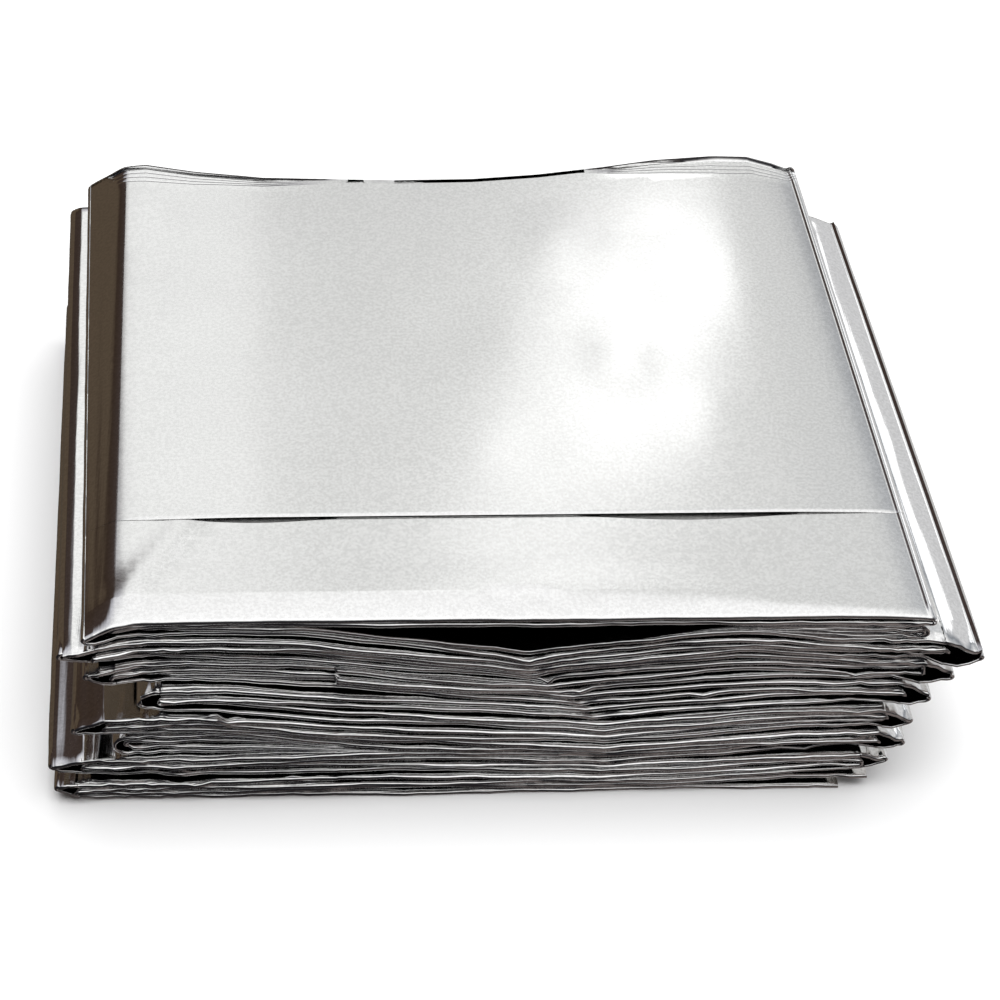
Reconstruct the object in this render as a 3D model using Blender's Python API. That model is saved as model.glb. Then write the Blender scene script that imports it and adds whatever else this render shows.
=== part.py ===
"""A folded emergency foil blanket, a loose pad of metallised film resting on its largest face.

One sheet is folded in two and zigzagged from side to side into fourteen double runs, 28 layers in all.
Every run ends in a fold at the left and at the right. The layers' edges show at the front and at the back.
The layers are numbered from the top, 0 to 27. Lengths are in millimetres until the mesh is made.
X runs from left to right, Y from the front to the back, and Z up from the surface it rests on.
"""

import math

import bmesh
import bpy
from mathutils import Vector

MM = 0.001

# The sheet and the stack
SHEET = 1.0  # thickness of the sheet
LAYERS = 28
PINCH = 1.2  # distance between layers where four of them close up at a side fold
TIGHT = 0.6  # radius of a tight fold, at the middle of the sheet
NOSE = 0.7  # radius at the very tip of a side fold, at the middle of the sheet
STEEPEST = 83  # degrees above or below level where a side fold starts to close
FRONT, BACK = -58.8, 59.6  # where the front and back edges stand

# The top sheet and the two layers below it, away from the side folds
TOP = 38.2
SECOND = 36.8
THIRD = 35.5
BOTTOM = 0.5
LAP_Y = -35.4  # the lap across the top sheet: behind it the sheet is one step higher
LAP_STEP = 0.4

# The folds at the left, from the top down. Each one closes four layers.
# tip: X of the outermost point. height: Z of its middle where it starts to close.
# taper: how long it closes over. rise: how far its tip stands above that middle.
LEFT_COLUMNS = "name", "tip", "height", "taper", "rise"
LEFT_FRONT = (
    ("shoulder", -65.4, 36.40, 4.0, -0.9),
    ("upper ledge", -69.2, 31.65, 4.8, 0.6),
    ("third", -65.9, 26.80, 4.0, 0.8),
    ("set back", -58.2, 21.95, 3.0, 0.0),
    ("fifth", -68.5, 17.10, 4.5, -0.8),
    ("foot ledge", -72.9, 7.75, 5.0, -0.3),
    ("foot", -72.2, 2.30, 3.0, 0.6),
)
LEFT_BACK = (
    ("shoulder", -72.9, 36.40, 7.6, -2.4),
    ("upper ledge", -76.4, 29.40, 4.8, 0.4),
    ("third", -72.5, 24.55, 4.0, 0.3),
    ("set back", -66.0, 19.70, 3.0, 0.0),
    ("fifth", -74.5, 14.85, 4.5, -0.4),
    ("foot ledge", -79.0, 8.05, 5.0, -0.3),
    ("foot", -77.8, 2.30, 3.0, 0.6),
)

# The folds at the right below the first layer's own fold, in the same columns
RIGHT_FRONT = (
    ("wide ledge", 70.3, 31.20, 5.5, -0.6),
    ("under ledge", 66.6, 26.40, 4.5, -0.9),
    ("fourth", 63.8, 21.60, 4.0, -0.7),
    ("fifth", 61.6, 16.60, 4.0, -0.9),
    ("sixth", 61.2, 11.40, 4.0, -0.7),
    ("seventh", 59.2, 6.30, 4.0, 0.2),
)
RIGHT_BACK = (
    ("wide ledge", 64.6, 31.20, 5.0, -0.4),
    ("under ledge", 61.2, 26.40, 4.5, -0.5),
    ("fourth", 59.4, 21.60, 4.0, -0.5),
    ("fifth", 57.6, 16.60, 4.0, -0.5),
    ("sixth", 57.0, 11.40, 4.0, -0.5),
    ("seventh", 55.4, 6.30, 4.0, 0.2),
)

# The top sheet's own fold at the right, and the two cut ends at the foot of the stack
FIRST_FOLD_X = 61.9, 57.3  # front, back
END_X = {26: (56.0, 52.6), 27: (51.6, 48.4)}  # by layer: front, back
END_Z = {26: 2.5, 27: 0.5}

# The valley that creases the stack from front to back, near the middle
VALLEY_HALF = 35.0
VALLEY_X = 0.6, -6.0  # front, back, for the third layer
VALLEY_SHIFT = 0.55  # to the right, from each layer to the next one down
VALLEY_DROP = 3.9, 4.5  # front, back, for the third layer: none at the bottom
SECOND_DROP = 0.35, 3.0  # of the second layer, front and back

# The back edge of the top sheet, and of the layers just below it: X, and how far it is drawn forward
BACK_EDGE = (
    (-73.0, 0.6),
    (-66.0, -0.2),
    (-59.0, -0.9),
    (-50.0, 1.6),
    (-38.0, 3.8),
    (-15.0, 4.7),
    (0.0, 4.3),
    (12.0, 2.9),
    (24.0, 0.6),
    (34.0, -1.7),
    (45.0, -3.0),
    (52.0, -2.9),
    (57.5, 0.2),
)
BACK_EDGE_FADE = 9  # layers it takes to fade out

# How far each double run's edges stand back, from the top down.
# In columns: front edge at the left and at the right, back edge at the left and at the right.
EDGE_INSETS = (
    (0.0, 0.0, 0.0, 0.0),
    (0.5, 0.0, 0.4, 8.0),
    (-0.2, 0.2, 1.9, 8.3),
    (0.7, 0.4, 2.0, 5.0),
    (0.1, 0.5, 2.4, 5.3),
    (0.9, 0.2, 2.3, 3.0),
    (0.3, 0.8, 1.4, 3.2),
    (0.8, 0.1, 1.6, 2.0),
    (0.0, 0.6, 2.0, 2.2),
    (0.6, 0.0, 2.2, 1.2),
    (0.2, 0.9, 1.0, 1.4),
    (1.0, 0.3, 1.2, 1.8),
    (0.3, 0.5, 1.6, 2.0),
    (0.8, 0.9, 1.7, 1.0),
)

# Where the layers have their columns of points, in X at the front. All layers share them, so they keep their distance.
COLUMNS = -52, -44, -36, -28, -20, -9, 0.6, 9, 24, 31, 38, 45, 52
TOP_COLUMNS = -55, -49, -43, -37, -29, -21, -13, -5, 3, 11, 19, 27, 35, 41, 47, 52, 57
SKEW = 6.0  # the columns stand this much further to the left at the back
# Rows of points from front to back, as shares of the depth
ROWS = 0.0, 0.36, 0.68, 1.0
TOP_ROWS = 0.0, 0.015, 0.10, 0.1935, 0.2005, 0.36, 0.52, 0.68, 0.84, 1.0


def mix(a, b, share):
    return a + (b - a) * share


def smooth(share):
    share = min(max(share, 0.0), 1.0)
    return share * share * (3 - 2 * share)


def depth_share(y):
    return (y - FRONT) / (BACK - FRONT)


def curve(table, x):
    """The table's second column at x, straight between its rows."""
    if x <= table[0][0]:
        return table[0][1]
    for (low, first), (high, last) in zip(table, table[1:]):
        if x <= high:
            return mix(first, last, (x - low) / (high - low))
    return table[-1][1]


def fold_at(front, back, y):
    """A fold's tip, height, taper and rise at this depth."""
    share = depth_share(y)
    return [mix(a, b, share) for a, b in zip(front[1:], back[1:])]


def left_height(layer, y):
    height = fold_at(LEFT_FRONT[layer // 4], LEFT_BACK[layer // 4], y)[1]
    return height + (1.5 - layer % 4) * PINCH


def right_height(layer, y):
    if layer < 2:
        return (TOP, SECOND)[layer]
    if layer in END_Z:
        return END_Z[layer]
    fold = (layer - 2) // 4
    height = fold_at(RIGHT_FRONT[fold], RIGHT_BACK[fold], y)[1]
    return height + (1.5 - (layer - 2) % 4) * PINCH


def middle_height(layer, x, y):
    """The middle of the sheet between the folds, with the valley taken out of it."""
    share = depth_share(y)
    if layer == 0:
        return TOP
    if layer == 1:
        height, drop = SECOND, mix(*SECOND_DROP, smooth(share))
    else:
        down = (layer - 2) / (LAYERS - 3)
        height = mix(THIRD, BOTTOM, down)
        drop = mix(*VALLEY_DROP, share) * (1 - down)
    centre = mix(*VALLEY_X, share) + VALLEY_SHIFT * min(max(layer - 2, 0), 12)
    return height - drop * max(0.0, 1 - abs(x - centre) / VALLEY_HALF)


def height_of(layer, x, y):
    """The three heights above, blended from left to right."""
    straight = x + SKEW * depth_share(y)
    left = smooth((-20 - straight) / 31)
    right = smooth((straight - 24) / 29)
    middle = 1 - left - right
    return (
        left * left_height(layer, y)
        + right * right_height(layer, y)
        + middle * middle_height(layer, x, y)
    )


def ends_of(layer, y):
    """Where the layer's run starts and stops, in X: where its folds begin to close."""
    tip, _, taper, _ = fold_at(LEFT_FRONT[layer // 4], LEFT_BACK[layer // 4], y)
    left = tip + SHEET / 2 + NOSE + taper
    share = depth_share(y)
    if layer < 2:
        return left, mix(*FIRST_FOLD_X, share) - SHEET / 2 - NOSE
    if layer in END_X:
        return left, mix(*END_X[layer], share)
    fold = (layer - 2) // 4
    tip, _, taper, _ = fold_at(RIGHT_FRONT[fold], RIGHT_BACK[fold], y)
    return left, tip - SHEET / 2 - NOSE - taper


def arc(centre, radius, start, stop, steps):
    """Points on a circle from one angle to another, in degrees."""
    return [
        (
            centre[0] + radius * math.cos(math.radians(mix(start, stop, i / steps))),
            centre[1] + radius * math.sin(math.radians(mix(start, stop, i / steps))),
        )
        for i in range(steps + 1)
    ]


def outer_fold(side, start_x, height, taper, rise):
    """The outer two of four layers, closing over the inner fold to a narrow tip: X and Z from top to bottom."""
    wide = 1.5 * PINCH
    lean = math.degrees(math.atan2(rise, taper))
    closing = math.degrees(math.asin((wide - NOSE) / math.hypot(taper, rise)))
    above, below = 90 - closing + lean, -90 + closing + lean
    points = arc((0.0, 0.0), wide, min(above, STEEPEST), max(below, -STEEPEST), 1)
    points[1:1] = arc((taper, rise), NOSE, above, below, 4)
    return [(start_x + side * x, height + z) for x, z in points]


def inner_fold(side, start_x, height):
    points = arc((0.0, 0.0), TIGHT, 67.5, -67.5, 3)
    return [(start_x + side * x, height + z) for x, z in points]


def sheet_path():
    """The order of the folded sheet, as stations: a function of y that gives X and Z, and the layer it belongs to."""
    runs = [0], [1]
    while runs[0][-1] not in END_X:
        for run in runs:
            last, at_left = run[-1], len(run) % 2 == 1
            first = last - last % 4 if at_left else last - (last - 2) % 4
            run.append(2 * first + 3 - last)
    layer_runs_left = {layer: i % 2 == 1 for i, layer in enumerate(runs[0])}
    layer_runs_left |= {layer: i % 2 == 0 for i, layer in enumerate(runs[1])}
    order = runs[0][::-1] + runs[1]
    stations = []

    def body(layer):
        """The run between the folds, from the left."""

        def end(place):
            def at(y):
                x = ends_of(layer, y)[place]
                return x, height_of(layer, x, y)

            return at

        def column(straight):
            def at(y):
                x = straight - SKEW * depth_share(y)
                return x, height_of(layer, x, y)

            return at

        spans = [[x + SKEW * depth_share(y) for x in ends_of(layer, y)] for y in (FRONT, BACK)]
        low, high = max(spans[0][0], spans[1][0]) + 1, min(spans[0][1], spans[1][1]) - 1
        places = TOP_COLUMNS if layer == 0 else COLUMNS
        ways = [end(0), *(column(x) for x in places if low < x < high), end(1)]
        rows = [ROWS] * len(ways)
        if layer == 0:
            rows = [TOP_ROWS] * len(ways)
        elif layer == 1:
            rows[-2:] = [TOP_ROWS] * 2
        elif layer == 3:
            rows[0] = TOP_ROWS
        return [(at, layer, own_rows) for at, own_rows in zip(ways, rows)]

    def fold(upper, lower, side):
        """The turn between two layers, from the upper one down."""

        def at_index(i):
            def at(y):
                left, right = ends_of(upper, y)
                start = left if side < 0 else right
                if upper == 0 and side > 0:
                    middle = (TOP + SECOND) / 2
                    turn = arc((0.0, 0.0), NOSE, 60, -60, 2)
                    return start + turn[i][0], middle + turn[i][1]
                table = (LEFT_FRONT, LEFT_BACK) if side < 0 else (RIGHT_FRONT, RIGHT_BACK)
                place = upper // 4 if side < 0 else (upper - 2) // 4
                _, height, taper, rise = fold_at(table[0][place], table[1][place], y)
                if lower - upper == 3:
                    return outer_fold(side, start, height, taper, rise)[i]
                return inner_fold(side, start, height)[i]

            return at

        count = 3 if upper == 0 and side > 0 else 7 if lower - upper == 3 else 4
        return [(at_index(i), upper, TOP_ROWS if upper == 0 else ROWS) for i in range(count)]

    for place, layer in enumerate(order):
        from_left = body(layer)
        towards_left = layer_runs_left[layer]
        stations += from_left[::-1] if towards_left else from_left
        if place + 1 < len(order):
            upper, lower = sorted((layer, order[place + 1]))
            turn = fold(upper, lower, -1 if towards_left else 1)
            stations += turn if layer == upper else turn[::-1]
    return stations


def edges_of(layer, x):
    """Where the layer's front and back edges stand at x."""
    front_left, front_right, back_left, back_right = EDGE_INSETS[layer // 2]
    across = smooth((x + 60) / 120)
    drawn = curve(BACK_EDGE, x) * max(0.0, 1 - layer / BACK_EDGE_FADE)
    return FRONT + mix(front_left, front_right, across), BACK - drawn - mix(back_left, back_right, across)


def lap(layer, x, y):
    """How far the top sheet is raised behind its lap."""
    if layer != 0 or y < LAP_Y:
        return 0.0
    return LAP_STEP * smooth((x + 60) / 4) * smooth((60.5 - x) / 3)


def strip_between(first, second):
    """Faces between two columns of vertices: a quad for each pair of rows, or triangles where the rows differ."""
    if len(first) == len(second):
        rows = zip(first, second, second[1:], first[1:])
        return [tuple(corners) for corners in rows]
    faces = []
    i = j = 0
    while i + 1 < len(first) or j + 1 < len(second):
        next_first = first[i + 1].co.y if i + 1 < len(first) else math.inf
        next_second = second[j + 1].co.y if j + 1 < len(second) else math.inf
        if next_first <= next_second:
            faces.append((first[i], second[j], first[i + 1]))
            i += 1
        else:
            faces.append((first[i], second[j], second[j + 1]))
            j += 1
    return faces


def middle_of_sheet():
    """The folded sheet with no thickness yet, centred over the origin and standing on it."""
    sheet = bmesh.new()
    columns = []
    for at, layer, rows in sheet_path():
        front, back = edges_of(layer, at(0.0)[0])
        column = []
        for share in rows:
            y = mix(front, back, share)
            x, z = at(y)
            column.append(sheet.verts.new((x, y, z + lap(layer, x, y))))
        columns.append(column)
    for first, second in zip(columns, columns[1:]):
        for corners in strip_between(first, second):
            sheet.faces.new(corners)
    spans = [[vertex.co[axis] for vertex in sheet.verts] for axis in range(3)]
    centre = [(min(span) + max(span)) / 2 for span in spans[:2]]
    foot = min(spans[2]) - SHEET / 2
    bmesh.ops.translate(sheet, verts=sheet.verts, vec=-Vector((*centre, foot)))
    bmesh.ops.scale(sheet, verts=sheet.verts, vec=Vector((MM, MM, MM)))
    print("moved by", [round(-value, 3) for value in (*centre, foot)])
    return sheet


def foil():
    material = bpy.data.materials.new("metallised_film")
    material.use_nodes = True
    shader = material.node_tree.nodes["Principled BSDF"]
    shader.inputs["Base Color"].default_value = (0.78, 0.78, 0.79, 1.0)
    shader.inputs["Metallic"].default_value = 1.0
    shader.inputs["Roughness"].default_value = 0.28
    return material


def main():
    for item in list(bpy.data.objects):
        bpy.data.objects.remove(item)
    mesh = bpy.data.meshes.new("foil_blanket")
    sheet = middle_of_sheet()
    sheet.to_mesh(mesh)
    sheet.free()
    mesh.materials.append(foil())
    blanket = bpy.data.objects.new("foil_blanket", mesh)
    bpy.context.scene.collection.objects.link(blanket)
    thickness = blanket.modifiers.new("thickness", "SOLIDIFY")
    thickness.thickness = SHEET * MM
    thickness.offset = 0.0
    thickness.use_even_offset = True
    thickness.use_quality_normals = True


main()
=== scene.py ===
# %% [markdown]
# A folded emergency blanket: a thin film with a bright metal coat, folded in two, zigzagged from side to
# side and pressed into a pad. This lesson shows how to lay one long film in such a zigzag, how to give
# its edges and folds their small wrinkles, and how to light bright metal film so that it reads as silver
# and not as grey plastic.
#
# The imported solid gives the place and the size. Everything below is made over it in the same frame, in
# millimetres until the mesh is written.

# %% The frame and its box
import math
from collections import namedtuple

import bpy
from mathutils import Matrix, Quaternion, Vector


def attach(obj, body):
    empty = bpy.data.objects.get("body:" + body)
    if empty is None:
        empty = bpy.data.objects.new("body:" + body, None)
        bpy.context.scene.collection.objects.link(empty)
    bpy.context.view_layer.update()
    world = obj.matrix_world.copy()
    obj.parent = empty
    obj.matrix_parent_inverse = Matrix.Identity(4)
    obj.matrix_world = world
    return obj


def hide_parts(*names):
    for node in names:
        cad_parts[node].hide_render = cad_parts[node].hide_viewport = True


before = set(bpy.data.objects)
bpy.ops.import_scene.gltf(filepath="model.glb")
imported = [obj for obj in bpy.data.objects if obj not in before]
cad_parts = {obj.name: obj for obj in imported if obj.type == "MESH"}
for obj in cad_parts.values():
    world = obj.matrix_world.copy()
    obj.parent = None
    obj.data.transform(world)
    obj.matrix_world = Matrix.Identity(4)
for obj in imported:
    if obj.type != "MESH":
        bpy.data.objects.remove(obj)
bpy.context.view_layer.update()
MM = 0.001

# %% [markdown]
# The stack has 28 layers, numbered from the top. Four of them close into each fold at the sides. A fold
# has a tip, a height, a length over which it closes, and a rise from its middle to its tip. The front and
# back of each fold differ, so each has two rows of numbers, and a point in between mixes them.

# %% Sizes of the stack
LAYERS = 28
PINCH = 1.2  # distance between layers at a side fold
TIGHT = 0.6  # radius of an inner fold
TIP_RADIUS = 0.7  # radius at the tip of an outer fold
FILM_HALF = 0.36  # half the height of one layer, which is a doubled film with a little air in it
SOLID_HALF = 0.5  # half the height of a layer in the solid
EDGE_DEPTH = 0.7  # how deep a rounded front or back edge is
FRONT, BACK = -58.8, 59.6
TOP, SECOND, THIRD, BOTTOM = 38.2, 36.8, 35.5, 0.5
LAP_Y, LAP_STEP = -35.2, 0.4
SKEW = 6.0  # the columns of points stand this much further to the left at the back
PLACE = 4.326, -1.738  # what centres the pad over the origin

# name, tip, height, taper, rise
LEFT_FRONT = (
    ("shoulder", -65.4, 36.40, 4.0, -0.9),
    ("upper ledge", -69.2, 31.65, 4.8, 0.6),
    ("third", -65.9, 26.80, 4.0, 0.8),
    ("set back", -58.2, 21.95, 3.0, 0.0),
    ("fifth", -68.5, 17.10, 4.5, -0.8),
    ("foot ledge", -72.9, 7.75, 5.0, -0.3),
    ("foot", -72.2, 2.30, 3.0, 0.6),
)
LEFT_BACK = (
    ("shoulder", -72.9, 36.40, 6.3, -2.4),
    ("upper ledge", -76.4, 29.40, 4.8, 0.4),
    ("third", -72.5, 24.55, 4.0, 0.3),
    ("set back", -66.0, 19.70, 3.0, 0.0),
    ("fifth", -74.5, 14.85, 4.5, -0.4),
    ("foot ledge", -79.0, 8.05, 5.0, -0.3),
    ("foot", -77.8, 2.30, 3.0, 0.6),
)
RIGHT_FRONT = (
    ("wide ledge", 70.3, 31.20, 5.5, -0.6),
    ("under ledge", 66.6, 26.40, 4.5, -0.9),
    ("fourth", 63.8, 21.60, 4.0, -0.7),
    ("fifth", 61.6, 16.60, 4.0, -0.9),
    ("sixth", 61.2, 11.40, 4.0, -0.7),
    ("seventh", 59.2, 6.30, 4.0, 0.2),
)
RIGHT_BACK = (
    ("wide ledge", 64.6, 31.20, 5.0, -0.4),
    ("under ledge", 61.2, 26.40, 4.5, -0.5),
    ("fourth", 59.4, 21.60, 4.0, -0.5),
    ("fifth", 57.6, 16.60, 4.0, -0.5),
    ("sixth", 57.0, 11.40, 4.0, -0.5),
    ("seventh", 55.4, 6.30, 4.0, 0.2),
)
FIRST_FOLD_X = 61.9, 57.3  # the top sheet's own fold at the right: front, back
END_X = {26: (56.0, 52.6), 27: (51.6, 48.4)}  # the film's two ends, by layer
END_Z = {26: 2.5, 27: 0.5}

# The valley that creases the stack from front to back
# The folds' heights set in so many mm from the middle, and over so many mm
LEFT_BLEND, RIGHT_BLEND = (20, 31), (24, 29)
VALLEY_HALF = 35.0
VALLEY_X = 0.6, -6.0
VALLEY_WAY = ((2, 0.2), (6, 0.9), (8, 3.8), (10, 7.6), (13, 11.0), (16, 13.0))  # layer, X at the front
NOTCH_HALF, NOTCH_DROP = 5.0, 0.30  # the sharp bottom of the valley
VALLEY_DROP = 5.3, 4.5
SECOND_DROP = 0.35, 3.0

# x, how far the back edge is drawn forward
BACK_EDGE = (
    (-73.0, 0.6),
    (-66.0, -0.2),
    (-59.0, -0.9),
    (-50.0, 1.6),
    (-38.0, 3.8),
    (-15.0, 4.7),
    (0.0, 4.3),
    (12.0, 2.9),
    (24.0, 0.6),
    (34.0, -1.7),
    (45.0, -3.0),
    (52.0, -2.9),
    (57.5, 0.2),
)
BACK_EDGE_FADE = 9

# x, how far the upper layers' front edges lean back
LEAN = (
    (-71.0, 0.0),
    (-66.0, 0.7),
    (-60.0, 2.1),
    (-25.0, 2.1),
    (5.0, 1.8),
    (40.0, 1.2),
    (58.0, 0.5),
    (64.0, 0.0),
)
LEAN_FADE = 9, 15  # full down to this layer, none from this one on

PAD_HALF = 60.0  # half the pad's width, over which the edges' insets change
# front left, front right, back left, back right: how far each double run's edges stand back
EDGE_INSETS = (
    (0.0, 0.0, 0.0, 0.0),
    (0.5, 0.0, 0.4, 8.0),
    (-0.2, 0.2, 1.9, 8.3),
    (0.7, 0.4, 2.0, 5.0),
    (0.1, 0.5, 2.4, 5.3),
    (0.9, 0.2, 2.3, 3.0),
    (0.3, 0.8, 1.4, 3.2),
    (0.8, 0.1, 1.6, 2.0),
    (0.0, 0.6, 2.0, 2.2),
    (0.6, 0.0, 2.2, 1.2),
    (0.2, 0.9, 1.0, 1.4),
    (1.0, 0.3, 1.2, 1.8),
    (0.3, 0.5, 1.6, 2.0),
    (0.8, 0.9, 1.7, 1.0),
)


# %% Helpers for mixing and for tables
def mix(a, b, share):
    return a + (b - a) * share


def smooth(share):
    share = min(max(share, 0.0), 1.0)
    return share * share * (3 - 2 * share)


def hill(distance, half):
    """1 at no distance, 0 from half on, with soft feet."""
    return smooth(1 - abs(distance) / half)


def curve(table, x, column=1):
    """The table's column at x, straight between its rows."""
    if x <= table[0][0]:
        return table[0][column]
    for low, high in zip(table, table[1:]):
        if x <= high[0]:
            return mix(low[column], high[column], (x - low[0]) / (high[0] - low[0]))
    return table[-1][column]


def depth_share(y):
    return (y - FRONT) / (BACK - FRONT)


print("mixed half way between 2 and 4:", mix(2, 4, 0.5))

# %% [markdown]
# Each layer has three heights: one at its left fold, one at its right fold, and one in the middle, where
# the valley is taken out of it. A smooth blend from left to right joins them, so neighbouring layers
# never meet.


# %% Heights of the layers
def fold_at(front, back, y):
    share = depth_share(y)
    return [mix(a, b, share) for a, b in zip(front[1:], back[1:])]


def left_height(layer, y):
    return fold_at(LEFT_FRONT[layer // 4], LEFT_BACK[layer // 4], y)[1] + (1.5 - layer % 4) * PINCH


def right_height(layer, y):
    if layer < 2:
        return (TOP, SECOND)[layer]
    if layer in END_Z:
        return END_Z[layer]
    fold = (layer - 2) // 4
    return fold_at(RIGHT_FRONT[fold], RIGHT_BACK[fold], y)[1] + (1.5 - (layer - 2) % 4) * PINCH


def middle_height(layer, x, y):
    share = depth_share(y)
    if layer == 0:
        return TOP
    if layer == 1:
        height, drop = SECOND, mix(*SECOND_DROP, smooth(share))
    else:
        down = (layer - 2) / (LAYERS - 3)
        height, drop = mix(THIRD, BOTTOM, down), mix(*VALLEY_DROP, share) * (1 - down)
    centre = mix(*VALLEY_X, share) + curve(VALLEY_WAY, layer)
    notch = NOTCH_DROP * max(0.0, 1 - abs(x - centre) / NOTCH_HALF) * min(drop, 1.0)
    return height - drop * max(0.0, 1 - abs(x - centre) / VALLEY_HALF) - notch


def height_of(layer, x, y):
    straight = x + SKEW * depth_share(y)
    left = smooth((-LEFT_BLEND[0] - straight) / LEFT_BLEND[1])
    right = smooth((straight - RIGHT_BLEND[0]) / RIGHT_BLEND[1])
    blend = left * left_height(layer, y) + right * right_height(layer, y)
    return blend + (1 - left - right) * middle_height(layer, x, y)


def ends_of(layer, y):
    """Where the layer's folds begin to close, in X."""
    tip, _, taper, _ = fold_at(LEFT_FRONT[layer // 4], LEFT_BACK[layer // 4], y)
    left = tip + SOLID_HALF + TIP_RADIUS + taper
    share = depth_share(y)
    if layer < 2:
        return left, mix(*FIRST_FOLD_X, share) - SOLID_HALF - TIP_RADIUS
    if layer in END_X:
        return left, mix(*END_X[layer], share)
    tip, _, taper, _ = fold_at(RIGHT_FRONT[(layer - 2) // 4], RIGHT_BACK[(layer - 2) // 4], y)
    return left, tip - SOLID_HALF - TIP_RADIUS - taper


def edges_of(layer, x):
    """Where the layer's front and back edges stand at x."""
    front_left, front_right, back_left, back_right = EDGE_INSETS[layer // 2]
    across = smooth((x + PAD_HALF) / (2 * PAD_HALF))
    drawn = curve(BACK_EDGE, x) * max(0.0, 1 - layer / BACK_EDGE_FADE)
    lean = curve(LEAN, x) * smooth((LEAN_FADE[1] - layer) / (LEAN_FADE[1] - LEAN_FADE[0]))
    front = FRONT + lean + mix(front_left, front_right, across)
    return front, BACK - drawn - mix(back_left, back_right, across)


print("height of the tenth layer at the middle of the front:", round(height_of(9, 0, FRONT), 2), "mm")

# %% [markdown]
# A side fold is where four layers close to a narrow tip. The outer film runs round the inner one: a soft
# shoulder, a slope, a tight turn at the tip, and the same back. Pressed film keeps creases along such a
# slope, so the slope has points enough to carry them. They come in a later step.

# %% Side folds
# Where a slope's points stand, from the shoulder to the tip: close together where a crease is crisp
SLOPE_SHARES = (0.0, 0.17, 0.34, 0.50, 0.67, 0.804, 0.878, 0.901, 0.920, 0.944, 0.967, 0.988)
UNDER_SHARES = (0.0, 0.4, 0.75, 0.94)
TIP_STEPS = 6
SHOULDER_STEPS = 5
SOFT, SOFT_HANDLE = 2.0, 0.7  # how far a soft shoulder takes to turn down, and how far it stays level
FIRST_FOLD_SQUARE, FIRST_FOLD_RATE = 0.55, 1.6  # how square the first fold is at the back, and how soon


def arc(radius, start, stop, steps):
    turns = [math.radians(mix(start, stop, i / steps)) for i in range(steps + 1)]
    return [(radius * math.cos(turn), radius * math.sin(turn)) for turn in turns]


def between(first, second, shares):
    """Points on the straight line from one point to another."""
    return [(mix(first[0], second[0], share), mix(first[1], second[1], share)) for share in shares]


def outer_fold(side, start_x, height, taper, rise, soft=0.0):
    """The outer two of four layers, closing over the inner fold: X and Z from top to bottom."""
    wide = 1.5 * PINCH
    lean = math.degrees(math.atan2(rise, taper))
    closing = math.degrees(math.asin((wide - TIP_RADIUS) / math.hypot(taper, rise)))
    above, below = 90 - closing + lean, -90 + closing + lean
    upper = arc(wide, 90, min(above, 86), SHOULDER_STEPS)
    tip = [(taper + x, rise + z) for x, z in arc(TIP_RADIUS, above, below, TIP_STEPS)]
    lower = arc(wide, max(below, -86), -90, SHOULDER_STEPS)
    if soft:
        end = upper[-1]
        share = soft / math.hypot(tip[0][0] - end[0], tip[0][1] - end[1])
        last = [mix(a, b, share) for a, b in zip(end, tip[0])]
        handle = (SOFT_HANDLE, wide)
        turns = [i / SHOULDER_STEPS for i in range(SHOULDER_STEPS + 1)]
        levels, falls = between((0, wide), handle, turns), between(handle, last, turns)
        upper = [between(level, fall, [turn])[0] for level, fall, turn in zip(levels, falls, turns)]
    points = upper[:-1] + between(upper[-1], tip[0], SLOPE_SHARES) + tip
    points += between(lower[0], tip[-1], UNDER_SHARES[::-1]) + lower[1:]
    return [(start_x + side * x, height + z) for x, z in points]


def inner_fold(side, start_x, height):
    return [(start_x + side * x, height + z) for x, z in arc(TIGHT, 90, -90, 6)]


OUTER_COUNT = len(outer_fold(1, 0.0, 0.0, 4.0, 0.0))
print("points round an outer fold:", OUTER_COUNT)


# %% [markdown]
# The film is one long strip. It starts at the foot, zigzags up on the outside, turns over at the top
# right, and zigzags down again on the inside. The list of stations below follows it from end to end: each
# station is a function that gives X and Z at any depth, with the layer that it belongs to.


# %% The way of the film
Station = namedtuple("Station", "at layer kind edges half")


def full_half(x, y):
    return FILM_HALF


def station(at, layer, kind):
    """A station of the main film: its edges and its half height are the layer's own."""
    return Station(at, layer, kind, lambda x: edges_of(layer, x), full_half)


CUT_X, CUT_CLEAR, CUT_HALF = -28.0, 0.7, 0.2  # a cut end of the film shows here at the front
WIDEST = 70.0
CORNER_X, SHOULDER_X, VALLEY_SPAN = 50, 42, (-2, 17)
CORNER_STEP, SHOULDER_STEP, VALLEY_STEP, PLAIN_STEP = 1.1, 1.5, 1.0, 2.2


def column_step(x):
    """How far it is to the next column: less at the corners and at the valley, where film is livelier."""
    if abs(x) > CORNER_X:
        return CORNER_STEP
    if abs(x) > SHOULDER_X:
        return SHOULDER_STEP
    return VALLEY_STEP if VALLEY_SPAN[0] < x < VALLEY_SPAN[1] else PLAIN_STEP


def column_places():
    """X of the columns of points."""
    places, x = [], -WIDEST
    while x < WIDEST:
        places.append(x)
        x += column_step(x)
    places = [x for x in places if abs(x - CUT_X) > CUT_CLEAR]
    return sorted([*places, CUT_X - CUT_HALF, CUT_X + CUT_HALF])


COLUMNS = column_places()
TOP_STEP = 1.4
TOP_COLUMNS = [-WIDEST + TOP_STEP * i for i in range(101)]
# Columns that follow the top sheet's right edge: mm in from it
EDGE_GAPS = 3.2, 2.3, 1.5, 0.95, 0.60, 0.48, 0.42, 0.28, 0.14, 0.04
SIDE_BAND = 2.5  # mm from a fold within which a layer can be seen from the side


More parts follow.
